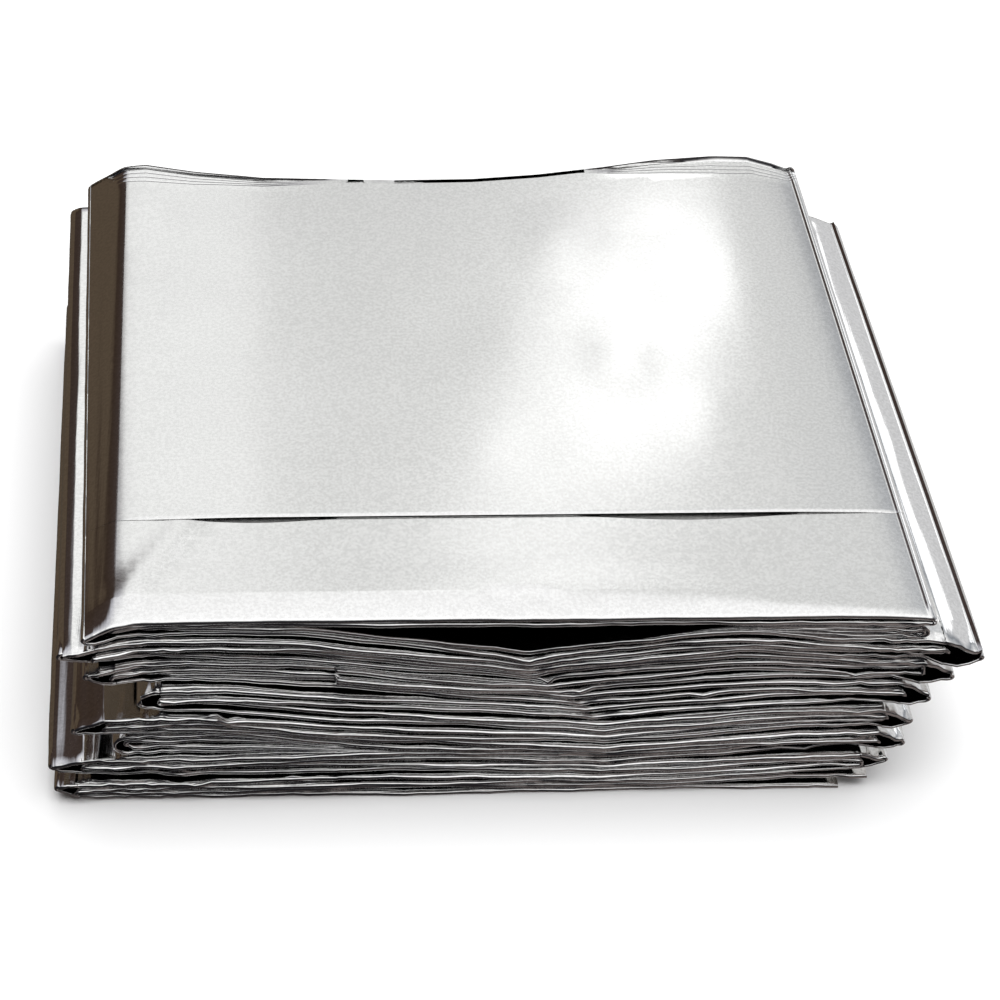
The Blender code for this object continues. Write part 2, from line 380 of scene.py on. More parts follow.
def run_order():
    runs = [0], [1]
    while runs[0][-1] not in END_X:
        for run in runs:
            last, at_left = run[-1], len(run) % 2 == 1
            first = last - last % 4 if at_left else last - (last - 2) % 4
            run.append(2 * first + 3 - last)
    leftward = {layer: i % 2 == 1 for i, layer in enumerate(runs[0])}
    leftward |= {layer: i % 2 == 0 for i, layer in enumerate(runs[1])}
    return runs[0][::-1] + runs[1], leftward


def body_stations(layer):
    """The layer between its folds, from the left."""

    def end(place):
        def at(y):
            x = ends_of(layer, y)[place]
            return x, height_of(layer, x, y)

        return at

    def column(straight):
        def at(y):
            x = straight - SKEW * depth_share(y)
            return x, height_of(layer, x, y)

        return at

    spans = [[x + SKEW * depth_share(y) for x in ends_of(layer, y)] for y in (FRONT, BACK)]
    low, high = max(spans[0][0], spans[1][0]) + 0.5, min(spans[0][1], spans[1][1]) - 0.5
    if layer == 0:
        high -= 3.0
    inside = [x for x in (TOP_COLUMNS if layer == 0 else COLUMNS) if low < x < high]
    inner_left = layer % 4 in (1, 2)
    inner_right = layer in range(3, 26) and (layer - 2) % 4 in (1, 2)
    left_kind = "top" if layer == 0 else "hidden" if inner_left else "side"
    right_kind = "top" if layer == 0 else "hidden" if inner_right else "side"
    level = "top" if layer == 0 else "hidden"
    kinds = [
        left_kind if x < low + SIDE_BAND else right_kind if x > high - SIDE_BAND else level for x in inside
    ]

    def beside_end(gap):
        def at(y):
            x = ends_of(layer, y)[1] - gap
            return x, height_of(layer, x, y)

        return at

    middle = [station(column(x), layer, k) for x, k in zip(inside, kinds)]
    if layer == 0:
        middle += [station(beside_end(gap), layer, "top") for gap in EDGE_GAPS]
    return [station(end(0), layer, left_kind), *middle, station(end(1), layer, right_kind)]


def fold_stations(upper, lower, side):
    """The turn between two layers, from the upper one down, without its two ends."""
    outer = lower - upper == 3
    first = upper == 0 and side > 0
    table = (LEFT_FRONT, LEFT_BACK) if side < 0 else (RIGHT_FRONT, RIGHT_BACK)
    place = upper // 4 if side < 0 else (upper - 2) // 4

    def at_index(i):
        def at(y):
            start = ends_of(upper, y)[0 if side < 0 else 1]
            if first:
                x, z = arc(1.0, 90, -90, 8)[i]
                square = mix(1.0, FIRST_FOLD_SQUARE, smooth(depth_share(y) * FIRST_FOLD_RATE))
                z = math.copysign(abs(z) ** square, z)
                return start + TIP_RADIUS * max(x, 0.0) ** square, (TOP + SECOND) / 2 + TIP_RADIUS * z
            _, height, taper, rise = fold_at(table[0][place], table[1][place], y)
            soft = SOFT if side < 0 and place == 0 else 0.0
            if outer:
                return outer_fold(side, start, height, taper, rise, soft)[i]
            return inner_fold(side, start, height)[i]

        return at

    count = 9 if first else OUTER_COUNT if outer else 7
    kind = "top" if upper == 0 else "side" if outer else "hidden"
    kinds = [kind if i < count * 0.6 or kind == "hidden" else "side" for i in range(count)]
    return [station(at_index(i), upper if i < count / 2 else lower, kinds[i]) for i in range(1, count - 1)]


def stations_of_film():
    order, leftward = run_order()
    stations = []
    for place, layer in enumerate(order):
        run = body_stations(layer)
        stations += run[::-1] if leftward[layer] else run
        if place + 1 < len(order):
            upper, lower = sorted((layer, order[place + 1]))
            turn = fold_stations(upper, lower, -1 if leftward[layer] else 1)
            stations += turn if layer == upper else turn[::-1]
    return stations


STATIONS = stations_of_film()
print("stations along the film:", len(STATIONS))

# %% [markdown]
# Two narrower folds of the film lie back between the wide ones: one at the left above the foot ledge, one
# at the right under the top sheet. Their layers share the room between the layer above and the layer
# below, and run out to nothing where that room closes, further in.

# %% Folds that are tucked in
# above and below: the layers that they lie between. tip: X at the front and at the back. reach: X where
# they run out. deep: how far the turn bulges. fills: X from where to where a fold comes to fill its room.
TUCKED = (
    {
        "above": 19,
        "below": 20,
        "side": -1,
        "tip": (-62.0, -68.5),
        "reach": -14.0,
        "deep": 2.4,
        "fills": (-99.0, -98.0),
    },
    {
        "above": 1,
        "below": 2,
        "side": 1,
        "tip": (61.4, 55.8),
        "reach": 9.0,
        "deep": 1.8,
        "fills": (14.0, 50.0),
    },
)
TUCKED_COUNT = 4
TUCKED_COLUMNS = 26
LEAST_FILL = 0.04


def tucked_stations(row, number):
    """The outer and the inner film of one tucked fold, each as its own list of stations."""

    def room(x, y):
        """Height of the room's top, and how much of it the fold fills: the rest stays open above it."""
        above = height_of(row["above"], x, y) - FILM_HALF
        below = height_of(row["below"], x, y) + FILM_HALF
        start, full = row["fills"]
        filled = mix(LEAST_FILL, 1.0, smooth((x - start) / (full - start)))
        height = max(above - below, 0.05) * filled
        return below + height, height

    def tip_at(y):
        return mix(*row["tip"], depth_share(y)) + 0.35 * math.sin(y * 0.16 + number)

    def half(x, y):
        start = tip_at(y) - row["side"] * row["deep"]
        near = min(x, start) if row["side"] > 0 else max(x, start)
        return max(0.02, min(0.30, 0.36 * room(near, y)[1] / TUCKED_COUNT))

    def edges(x):
        return max(edges_of(row[layer], x)[0] for layer in ("above", "below")) + 0.5, BACK - 3.0

    def run_at(place, x_of):
        def at(y):
            x = x_of(y)
            above, height = room(x, y)
            return x, above - height * (place + 0.5) / TUCKED_COUNT

        return at

    def turn_at(place, angle):
        """Round the tip, on an ellipse as high as the two layers stand apart."""

        def at(y):
            start = tip_at(y) - row["side"] * row["deep"]
            above, height = room(start, y)
            pitch = height / TUCKED_COUNT
            high = (1.5 - place) * pitch
            deep = row["deep"] if place == 0 else 0.9
            turn = math.radians(angle)
            return start + row["side"] * deep * math.cos(turn), above - height / 2 + high * math.sin(turn)

        return at

    def film_station(at, kind, layer):
        return Station(at, layer, kind, edges, half)

    films = []
    for place in (0, 1):
        film = []
        for i in range(TUCKED_COLUMNS):
            share = i / TUCKED_COLUMNS

            def x_of(y, share=share):
                start = tip_at(y) - row["side"] * row["deep"]
                return mix(row["reach"] + 3.0 * place, start, 1 - (1 - share) ** 1.4)

            kind = "side" if share > 0.8 else "hidden"
            film.append((run_at(place, x_of), run_at(TUCKED_COUNT - 1 - place, x_of), kind))
        turns = [turn_at(place, angle) for angle in range(80, -81, -20)]
        layer = 60 + 8 * number + place
        upper = [film_station(first, kind, layer) for first, _, kind in film]
        lower = [film_station(second, kind, layer + 4) for _, second, kind in film[::-1]]
        middle = [film_station(at, "side", layer) for at in turns]
        way = upper + middle + lower
        films.append(way if row["side"] > 0 else way[::-1])
    return films


TUCKED_FILMS = [film for number, row in enumerate(TUCKED) for film in tucked_stations(row, number)]
print("tucked films:", len(TUCKED_FILMS))

# %% [markdown]
# The top sheet shows most, so its relief is listed place by place. A film laid over another ends in a lap
# across the front, which stands a little open in two places. In front of the lap the sheet rises to a soft
# ridge
# and rolls over the edge. At both back corners the edges of four films show, one behind the other, like
# cards pushed out of line. Along the right edge the sheet falls and then rises to a narrow lip.

# %% Relief of the top sheet
RIDGE = ((-62.0, -52.5), (-42.0, -52.4), (1.0, -51.5), (26.0, -54.1), (56.0, -57.8))  # x, y
EDGE_ROLL = 0.75  # how far the sheet falls from the ridge to its edge
LAP_OPENINGS = ((-40.0, 12.5, 0.75), (27.0, 17.5, 1.05))  # x, half width, how far the strip stands away
LAP_PIT = 0.9  # how deep it is there
LAP_SHUT = 0.07  # height of the lap elsewhere
LAP_TUCK = 9.0  # how far the strip runs on under the lap
FILM = 0.10  # thickness that the lap shows

# The edges that show at the back corners: x, and how far each stands in front of the hindmost one
BACK_PLIES = (
    (-69.5, 1.0, 0.8, 0.6, 0.4),
    (-67.0, 4.6, 3.2, 1.9, 0.5),
    (-62.0, 5.2, 3.7, 2.2, 0.7),
    (-50.0, 3.6, 2.7, 1.7, 0.6),
    (-24.0, 1.0, 0.8, 0.6, 0.4),
    (17.0, 1.0, 0.8, 0.6, 0.4),
    (30.0, 4.0, 2.9, 1.9, 0.8),
    (43.0, 5.6, 4.2, 2.8, 1.2),
    (52.0, 5.2, 4.0, 2.6, 1.1),
    (58.0, 3.2, 2.4, 1.7, 0.8),
)
PLY_STEP = 0.14

# Soft dents and rises: x, y, half length across, half length in depth, height
DENTS = (
    (-10.0, 11.0, 13.0, 17.0, -0.12),
    (19.5, 3.0, 8.0, 14.0, 0.13),
    (32.0, 26.0, 13.0, 22.0, -0.12),
    (10.0, 36.0, 9.0, 14.0, 0.11),
    (-32.0, 34.0, 22.0, 20.0, 0.06),
    (-19.6, 53.6, 2.0, 2.4, 0.12),
    (4.0, -22.0, 10.0, 12.0, -0.07),
    (34.0, -14.0, 10.0, 20.0, 0.06),
    (-40.0, -10.0, 16.0, 16.0, -0.05),
    (-6.7, -54.4, 1.8, 2.2, 0.20),
    (-2.6, -55.0, 1.4, 2.0, -0.18),
    (1.2, -54.6, 1.6, 2.4, 0.24),
    (5.2, -54.6, 1.6, 2.0, -0.16),
    (9.4, -55.0, 2.2, 1.8, 0.16),
    (-24.0, -55.2, 2.4, 1.6, -0.10),
)
CORNER_CREASE = ((-59.8, -52.3), (-50.2, -35.1), 3.6, 0.29)  # start, end, half width, height
LEFT_ROLL, RIGHT_ROLL = 0.13, 0.22  # how far the sheet falls towards its side folds
LIP_WIDE, LIP_HIGH = 0.44, 0.25  # a lip along the right edge: it faces left, so it shows as a dark line
PRESS_MARKS = -62.75, 3.2, 5.0, 36.0, 0.035  # x, half width, y, half length, height


def crease(x, y, start, end, half, height):
    """A soft straight ridge between two points."""
    run = Vector(end) - Vector(start)
    along = (Vector((x, y)) - Vector(start)).dot(run) / run.length_squared
    away = (Vector((x, y)) - Vector(start) - run * along).length
    return height * hill(away, half) * smooth((along + 0.1) * 6) * smooth((1.1 - along) * 6)


def lap_height(x):
    """How much higher the rear film lies than the strip in front of it."""
    return LAP_STEP * smooth((x + 66) / 28) * smooth((63 - x) / 22)


def top_relief(x, y, edge_y):
    """How far the top sheet's upper side stands above level."""
    behind = y >= LAP_Y
    inside = lap_height(x) / LAP_STEP
    lift = lap_height(x) if behind else 0.0
    ridge_y = curve(RIDGE, x)
    if y < ridge_y:
        fall = min((ridge_y - y) / (ridge_y - edge_y), 1.0)
        lift -= EDGE_ROLL * min((ridge_y - edge_y) / 4.5, 1.0) * fall**1.3 * smooth((x + 66) / 6)
    else:
        lift += 0.12 * hill(y - ridge_y, 9.0) * inside
    for at_x, at_y, across, deep, height in DENTS:
        lift += height * hill(x - at_x, across) * hill(y - at_y, deep)
    if not behind:
        lift += crease(x, y, *CORNER_CREASE)
    share = depth_share(y)
    left_start = ends_of(0, y)[0]
    right_start = mix(*FIRST_FOLD_X, share) - SOLID_HALF - TIP_RADIUS
    lift -= LEFT_ROLL * max(0.0, 1 - (x - left_start) / 3.8) ** 2 * (x >= left_start)
    lift -= LEFT_ROLL * (x < left_start)
    to_lip = right_start - LIP_WIDE - x
    lift -= RIGHT_ROLL * max(0.0, 1 - max(to_lip, 0.0) / 4.5) ** 2
    lift += LIP_HIGH * min(max(-to_lip / LIP_WIDE, 0.0), 1.0) * smooth((y - edge_y - 0.4) / 1.6)
    at_x, across, at_y, deep, height = PRESS_MARKS
    beat = math.sin(y * 2.1 + 0.8 * math.sin(y * 0.37)) * (0.5 + 0.5 * math.sin(y * 0.23))
    return lift + height * hill(x - at_x, across) * hill(y - at_y, deep) * beat


def lap_shut(x):
    """How far the rear film's edge stands above the strip where the lap is shut."""
    return LAP_SHUT * smooth((x + 61) / 5) * smooth((60.5 - x) / 3)


def lap_bow(x):
    """How far the strip's rear edge bows forward from the rear film's straight edge."""
    return sum(wide * hill(x - at_x, half) ** 0.7 for at_x, half, wide in LAP_OPENINGS)


print("lap open by", round(lap_bow(27.0), 2), "mm at the right")

# %% [markdown]
# A layer has two skins and a rounded edge in front and behind, so each station is a closed loop: back
# edge, upper skin, front edge, lower skin. Rows stand close together where the film shows, and far apart
# where it is hidden. Each row holds a key that grows round the loop. Two neighbouring loops with
# different rows are joined by their keys.

# %% Rows round a layer
EDGE_TURN = (0.0, 28.0, 56.0, 90.0)  # degrees from the tip of a front edge to its skin
BACK_TURN = (0.0, 45.0, 90.0)
NEAR_EDGE = (1.4, 2.4, 4.5)  # mm from an edge
SIDE_ROW = 6.0  # mm between rows where a side fold shows
TOP_ROW = 1.7
# Rows of the skins that don't show: mm from the front edge, shares of the depth, mm from the back edge
HIDDEN_ROWS = {
    "hidden": (NEAR_EDGE, (0.10, 0.35, 0.68, 0.92), 1.8),
    "under": ((1.4, 4.5), (0.35, 0.75), 1.8),
}
# Keys of the rows that are put in: the first one and the step. They are the same in every column, so that
# neighbouring columns join well.
PLY_KEYS, LAP_KEYS = (0.002, 0.001), (0.790, 0.002)
EDGE_KEY_STEP = 0.001


def edge_rows(edge_y, inward, skin, depth=EDGE_DEPTH):
    """Rows round half of a rounded edge, from the skin to the tip: y, and share of the half height."""
    turns = [math.radians(turn) for turn in (EDGE_TURN if inward > 0 else BACK_TURN)[::-1]]
    return [(edge_y + inward * depth * (1 - math.cos(turn)), skin * math.sin(turn)) for turn in turns]


def skin_ys(kind, front, back):
    """Y of the rows between the two edges, from front to back."""
    if kind in HIDDEN_ROWS:
        near, shares, far = HIDDEN_ROWS[kind]
        middle, far = [mix(front, back, share) for share in shares], (far,)
    else:
        step = TOP_ROW if kind == "top" else SIDE_ROW
        count = round((back - front - 9) / step)
        middle = [mix(front + 5.5, back - 5.5, i / count) for i in range(count + 1)]
        near, far = NEAR_EDGE, NEAR_EDGE[::-1]
    return [front + EDGE_DEPTH + gap for gap in near] + middle + [back - EDGE_DEPTH - gap for gap in far]


def numbered(first_key, rows):
    """An edge's rows, with keys that grow from the first one."""
    return [(first_key + EDGE_KEY_STEP * i, y, share, 0.0) for i, (y, share) in enumerate(rows)]


def loop_rows(kind, front, back, at, above=EDGE_DEPTH, below=EDGE_DEPTH):
    """Rows of the loop at one station: key, y, share of the half height, extra height of the upper skin."""

    def key(y):
        return (back - y) / (back - front)

    upper = [(key(y), y, 1.0, 0.0) for y in skin_ys(kind, front, back)[::-1]]
    if kind == "top":
        upper = with_lap(with_plies(upper, at(back)[0], back), at(LAP_Y)[0])
    loop = numbered(-0.004, edge_rows(back, -1, 1)[::-1])
    loop += upper
    loop += numbered(1.0, edge_rows(front, 1, 1, above))
    loop += numbered(1.01, edge_rows(front, 1, -1, below)[::-1][1:])
    under = "under" if kind != "side" else "side"
    loop += [(2.02 - key(y), y, -1.0, 0.0) for y in skin_ys(under, front, back)]
    return loop + numbered(2.03, edge_rows(back, -1, -1)[:-1])


def with_plies(rows, x, back):
    """The stepped edges at the back corners, put into the upper skin's rows from back to front."""
    depths = [curve(BACK_PLIES, x, column) for column in range(1, 5)]
    strength = smooth((depths[0] - 1.2) / 2.0)
    kept = [row for row in rows if row[1] < back - depths[0] - 1.6]
    made, level = [], -PLY_STEP * 4 * strength
    for depth in depths[::-1]:
        y = back - depth
        made.append((y + 0.06, level))
        level += PLY_STEP * strength
        made += [(y, level - 0.16 * strength), (y - 0.30, level + 0.03 * strength), (y - 0.55, level)]
    return [(PLY_KEYS[0] + PLY_KEYS[1] * i, y, 1.0, z) for i, (y, z) in enumerate(made)] + kept


def with_lap(rows, x):
    """The rear film's edge over the strip, put into the upper skin's rows from back to front."""
    share, bow = lap_shut(x) / LAP_SHUT, lap_bow(x)
    tuck = LAP_TUCK * share + 0.02
    behind = [row for row in rows if row[1] > LAP_Y + 3.0]
    ahead = [row for row in rows if row[1] < LAP_Y - 1.6]
    film = FILM * share
    step = lap_height(x)
    pit = LAP_PIT * min(bow / 0.4, 1.0)
    made = [
        (LAP_Y + 0.8, 0.0),
        (LAP_Y + 0.06, 0.0),
        (LAP_Y + 0.0, -film / 2),
        (LAP_Y + 0.06, -film),
        (LAP_Y + 0.7 * tuck, -film - 0.1 * share),
        (LAP_Y + tuck, -film - 0.2 * share),
        (LAP_Y + tuck, -step - 0.10 * share - pit),
        (LAP_Y + 0.7 * tuck, -step - 0.06 * share - pit),
        (LAP_Y + 0.06, -step - pit),
        (LAP_Y - 0.001 - 0.92 * bow, -pit),
        (LAP_Y - 0.002 - bow, -0.45 * film),
        (LAP_Y - 0.06 - bow, 0.0),
        (LAP_Y - 0.25 - bow, 0.0),
    ]
    laid = [(LAP_KEYS[0] + LAP_KEYS[1] * i, y, 1.0, z) for i, (y, z) in enumerate(made)]
    return behind + laid + ahead


print("rows of a hidden loop:", len(loop_rows("hidden", FRONT, BACK, None)))
print("rows of a top loop:", len(loop_rows("top", FRONT, BACK, lambda y: (0.0, TOP))))

# %% [markdown]
# No two layers lie alike. Each one wanders a little up and down and in and out along its front edge, and
# some have a kink where the film was caught in the press. Slow sines, each with the layer's own phase,
# give the wandering. The kinks are listed one by one.

# %% Uneven edges
# layer, x, half width, lift, forward
KINKS = (
    (3, 0.9, 1.6, -0.2, 0.2),
    (5, 2.4, 1.5, -0.4, -0.3),
    (7, 4.2, 1.2, -0.7, 0.5),
    (9, 9.4, 1.8, -0.4, 0.3),
    (11, 10.0, 1.6, -0.4, -0.4),
    (13, 12.5, 3.2, -0.5, -0.5),
    (16, -46.6, 1.4, 0.9, 0.9),
    (16, -44.2, 1.2, -0.6, 0.2),
    (17, -45.4, 1.3, 0.5, 0.6),
    (23, -52.5, 2.6, 0.7, 0.8),
    (24, -35.4, 1.8, 0.6, 0.7),
    (24, -50.0, 2.2, -0.5, 0.4),
    (19, 40.1, 1.6, -0.6, 0.4),
    (20, 43.2, 1.4, 0.5, 0.5),
    (21, 44.6, 1.8, -0.5, 0.3),
    (5, 66.0, 5.5, -1.9, 0.5),
    (4, 60.5, 3.5, -0.7, 0.2),
    (9, 62.3, 5.0, -1.4, 0.4),
    (13, 59.8, 4.5, -1.4, 0.3),
    (17, 57.8, 4.0, -1.1, 0.3),
    (21, 57.4, 4.0, -1.1, 0.3),
    (3, 36.0, 1.8, -0.5, 0.4),
    (5, 33.0, 1.6, 0.4, 0.2),
    (8, 51.0, 2.0, -0.6, 0.2),
    (11, 28.0, 1.5, -0.4, 0.3),
)

# layer, x, forward: where another film's cut end lies over the edge
CUT_ENDS = (
    (8, CUT_X, 0.8),
    (9, CUT_X, 1.1),
    (10, CUT_X, 1.0),
    (3, 24.0, 0.30),
    (13, 31.0, 0.35),
    (18, -12.0, 0.30),
)


def wander(layer, x, pace, phase):
    """A slow irregular wave between about -1 and 1."""
    turn = layer * 2.399 + phase
    return (
        0.5 * math.sin(x * pace + turn)
        + 0.3 * math.sin(x * pace * 2.17 + turn * 1.7 + 1.1)
        + 0.2 * math.sin(x * pace * 4.61 + turn * 2.9 + 2.3)
    )


def edge_wave(layer, x):
    """How far the front edge stands forward of its place, and up."""
    if layer == 0:
        return 0.08 * wander(0, x, 0.21, 0.3), 0.0
    forward = 0.30 * wander(layer, x, 0.10, 0.7) + 0.05 * wander(layer, x, 0.9, 4.0)
    lift = 0.20 * wander(layer, x, 0.045, 2.0) + 0.04 * wander(layer, x, 0.30, 5.0)
    corner = smooth((abs(x) - 42) / 18)
    forward += 0.25 * corner * wander(layer, x, 0.7, 1.0)
    lift += 0.14 * corner * wander(layer, x, 0.33, 3.0)
    forward += sum(
        out * smooth((x - at_x) / 0.4 + 0.5) * smooth((at_x + 40 - x) / 25)
        for at_layer, at_x, out in CUT_ENDS
        if at_layer == layer
    )
    for at_layer, at_x, half, up, out in KINKS:
        if at_layer == layer:
            share = max(0.0, 1 - abs(x - at_x) / half)
            forward += out * share
            lift += up * share
    return forward, lift


def nose(layer, x):
    """How deep the front edge is above and below its tip: a deep one shows as a broad bright band."""
    if layer == 0:
        return EDGE_DEPTH, 0.3
    broad = 0.55 + 0.45 * wander(layer, x, 0.055, 6.0) + 0.35 * math.sin(layer * 2.1)
    spread = mix(0.20, 1.2, smooth(layer / 24))
    spread *= mix(0.38, 1.0, smooth((x + 62) / 70)) * mix(1.0, 0.6, smooth((x - 38) / 20))
    return 0.16 + 0.98 * spread * max(broad, 0.0), 0.25 + 0.5 * max(-wander(layer, x, 0.07, 2.5), 0.0)


PINCH_REACH, PINCH_FRONT = 24.0, 0.30  # how far in from a fold its layers draw together, and how much


def pinched(layer, x, y, z, near_front):
    """Height after the fold's layers are drawn together at the front corner."""
    for side, fronts, backs, first, last in (
        (-1, LEFT_FRONT, LEFT_BACK, 0, 27),
        (1, RIGHT_FRONT, RIGHT_BACK, 2, 25),
    ):
        if x * side < 20 or not first <= layer <= last:
            continue
        tip, height, taper, rise = fold_at(fronts[(layer - first) // 4], backs[(layer - first) // 4], y)
        start = tip - side * (SOLID_HALF + TIP_RADIUS + taper)
        out = (x - start) * side
        centre = height + rise * min(max(out / taper, 0.0), 1.0)
        share = smooth(1 + out / PINCH_REACH) * near_front
        if (layer - first) % 4 == 0:
            share *= smooth((centre + 0.5 - z) / 0.8)
        z = centre + (z - centre) * (1 - PINCH_FRONT * share)
    return z


print("front edge of the ninth layer stands forward by", round(edge_wave(8, 10.0)[0], 2), "mm at x = 10")

# %% [markdown]
# The film of a side fold is creased along its length. Each crease turns a strip of the film a few
# degrees, which is enough for bright metal to change from white to brown. The tables give the height of
# the film over its way, at distances from the fold's tip, for the uppermost film of each fold.

# %% Creases along the ledges
# distance from the tip, height
LEFT_CREASES = {
    0: ((0, 0), (1.4, 0), (2.4, 0.03), (3.4, 0.0)),
    4: ((0, 0), (0.9, 0), (2.1, 0.20), (3.9, 0.02), (4.6, 0.0), (6.4, -0.03), (8.0, 0)),
    8: ((0, 0), (1.1, 0), (3.0, 0.22), (4.0, 0.04), (4.8, 0.12), (6.4, -0.04), (8.0, 0)),
    12: ((0, 0), (1.1, 0), (2.4, 0.18), (3.6, 0.0)),
    16: (
        *((0, 0), (1.1, 0), (1.9, 0.07), (2.6, 0.0), (3.7, 0.10), (5.2, 0.06)),
        *((6.8, -0.06), (9.3, 0.14), (9.7, 0.0), (14.0, 0.16), (14.4, 0.0)),
    ),
    20: (
        *((0, 0), (0.9, 0.02), (1.9, 0.14), (2.9, -0.14), (3.6, 0.03)),
        *((4.4, -0.02), (5.4, 0.08), (6.4, 0.0), (8.6, 0.10), (10.0, 0.0)),
    ),
    24: ((0, 0), (1.1, 0), (2.6, 0.14), (3.4, 0.0)),
}


def lower_crease(trough, ridge, height):
    """The crease along one of the lower right folds: a trough, then a ridge."""
    return (0, 0), (1.2, 0), (trough, -0.22), (ridge, height), (4.2, -0.08), (5.0, 0)


RIGHT_CREASES = {
    2: (
        *((0, 0), (0.8, 0.08), (1.05, 0.14), (1.5, -0.36), (1.62, -0.36)),
        *((2.0, -0.31), (4.6, 0.0), (6.4, 0.03), (8.0, 0)),
    ),
    6: lower_crease(2.05, 3.12, 0.18),
    10: lower_crease(2.15, 3.20, 0.16),
    14: lower_crease(2.25, 3.28, 0.14),
    18: lower_crease(2.35, 3.36, 0.13),
    22: lower_crease(2.45, 3.44, 0.11),
}


def crease_relief(layer, x, y):
    """How far the creases lift the film off its way at this place."""
    lift = 0.0
    share = depth_share(y)
    for side, creases, first in ((-1, LEFT_CREASES, 0), (1, RIGHT_CREASES, 2)):
        if layer not in creases:
            continue
        fronts, backs = (LEFT_FRONT, LEFT_BACK) if side < 0 else (RIGHT_FRONT, RIGHT_BACK)
        tip = mix(fronts[(layer - first) // 4][1], backs[(layer - first) // 4][1], share)
        inward = max((x - tip) * -side, 0.0)
        sway = 0.22 * math.sin(y * 0.11 + layer) + 0.08 * math.sin(y * 0.47 + layer * 2)
        lift += curve(creases[layer], inward + sway * min(max(inward - 2, 0) / 3, 1.0))
    return lift


print("crease points on the foot ledge:", len(LEFT_CREASES[20]))

# %% [markdown]
# Now the loops are placed and joined to one closed film. A loop's skin stands off the middle of the layer
# along the way's own normal, so the film keeps its height round every fold. Four attributes go with each
# point: how loose it is, where it lies on the flat film, which way is off the film, and whether it is on
# the level sheet. The next step uses the first three for the small wrinkles, and the finish uses the
# last.


# %% Points and faces of the film
def normal_at(stations, i, y):
    """The way's normal at one station, from its neighbours."""
    before = stations[max(i - 1, 0)].at(y)
    after = stations[min(i + 1, len(stations) - 1)].at(y)
    dx, dz = after[0] - before[0], after[1] - before[1]
    length = math.hypot(dx, dz) or 1.0
    return -dz / length, dx / length


def join(first, second, first_keys, second_keys):
    """Faces between two loops of point numbers: quads where the rows agree, triangles elsewhere."""
    if len(first) == len(second):
        count = len(first)
        following = [(i + 1) % count for i in range(count)]
        return [(first[i], second[i], second[j], first[j]) for i, j in enumerate(following)]
    faces, i, j = [], 0, 0
    a, b = [*first, first[0]], [*second, second[0]]
    ka, kb = [*first_keys, 3.0], [*second_keys, 3.0]
    while i < len(first) or j < len(second):
        if j == len(second) or (i < len(first) and ka[i + 1] <= kb[j + 1]):
            faces.append((a[i], b[j], a[i + 1]))
            i += 1
        else:
            faces.append((a[i], b[j], b[j + 1]))
            j += 1
    return faces


def film_mesh(name, stations):
    """One closed film along these stations, and how far it runs."""
    points, faces, loose, flat, off, panel = [], [], [], [], [], []
    last = last_keys = None
    walked = 0.0
    for i, (at, layer, kind, edges, half) in enumerate(stations):
        middle_x, front_x = at(0.0)[0], at(FRONT)[0]
        front, back = edges(middle_x)
        forward, lift = edge_wave(layer, front_x)
        above, below = nose(layer, front_x)
        front -= forward
        loop, keys = [], []
        depth_down = min(layer, LAYERS - 1) / (LAYERS - 1)
        rest = mix(SOLID_HALF - FILM_HALF, FILM_HALF - SOLID_HALF, depth_down) if layer < LAYERS else 0.0
        lift *= 1.0 if layer < LAYERS else 0.4
        for key, y, share, extra in loop_rows(kind, front, back, at, above, below):
            x, z = at(y)
            nx, nz = normal_at(stations, i, y)
            near_front = math.exp(-max(y - front, 0.0) / 6.0)
            off_film = half(x, y) * share
            if layer < LAYERS and nz > 0:
                off_film += crease_relief(layer, x, y)
            z += rest + lift * near_front
            if layer == 0 and kind == "top" and nz > 0.5:
                z += top_relief(x, y, front) + extra * (1 if share > 0.99 else 0)
            loop.append(len(points))
            keys.append(key)
            z += nz * off_film
            if layer < LAYERS:
                z = pinched(layer, x, y, z, math.exp(-max(y - front, 0.0) / 1.6))
            points.append((x + nx * off_film, y, z))
            near_back = math.exp(-max(back - y, 0.0) / 6.0)
            at_side = smooth((abs(x + 3) - 52) / 10)
            corner = 1.0 + 1.2 * smooth((abs(x) - 46) / 12)
            if layer == 0:
                free = 0.10 * near_front
            else:
                free = max(corner * near_front, 0.8 * near_back, 0.45 * at_side)
            loose.append(free)
            flat.append((walked, y, layer * 3.7))
            off.append((nx, 0.0, nz))
            panel.append(1.0 if layer == 0 and kind == "top" and nz > 0.98 else 0.0)
        if i:
            walked += math.dist(stations[i - 1].at(0.0), at(0.0))
            faces += join(last, loop, last_keys, keys)
        else:
            faces.append(loop[::-1])
        last, last_keys = loop, keys
    faces.append(last)
    mesh = bpy.data.meshes.new(name)
    mesh.from_pydata([((x + PLACE[0]) * MM, (y + PLACE[1]) * MM, z * MM) for x, y, z in points], [], faces)
    for label, values in (("loose", loose), ("panel", panel)):
        mesh.attributes.new(label, "FLOAT", "POINT").data.foreach_set("value", values)
    for label, values in (("flat_place", flat), ("off", off)):
        numbers = [part for value in values for part in value]
        mesh.attributes.new(label, "FLOAT_VECTOR", "POINT").data.foreach_set("vector", numbers)
    triangles = sum(len(face) - 2 for face in faces)
    print(name, len(points), "points,", triangles, "triangles,", round(walked), "mm long")
    return mesh, walked


film_data, STRIP_LENGTH = film_mesh("folded_film", STATIONS)
tucked_data = [film_mesh(f"tucked_film_{number + 1}", way) for number, way in enumerate(TUCKED_FILMS)]

# %% [markdown]
# Small wrinkles follow a rule, so a Geometry Nodes tree makes them: it moves each point off the film by
# noise that is read on the flat film. Both skins of a layer read the same place, so they move together
# and the layer keeps its height. The noise is stretched from front to back, as wrinkles in pressed film
# are.


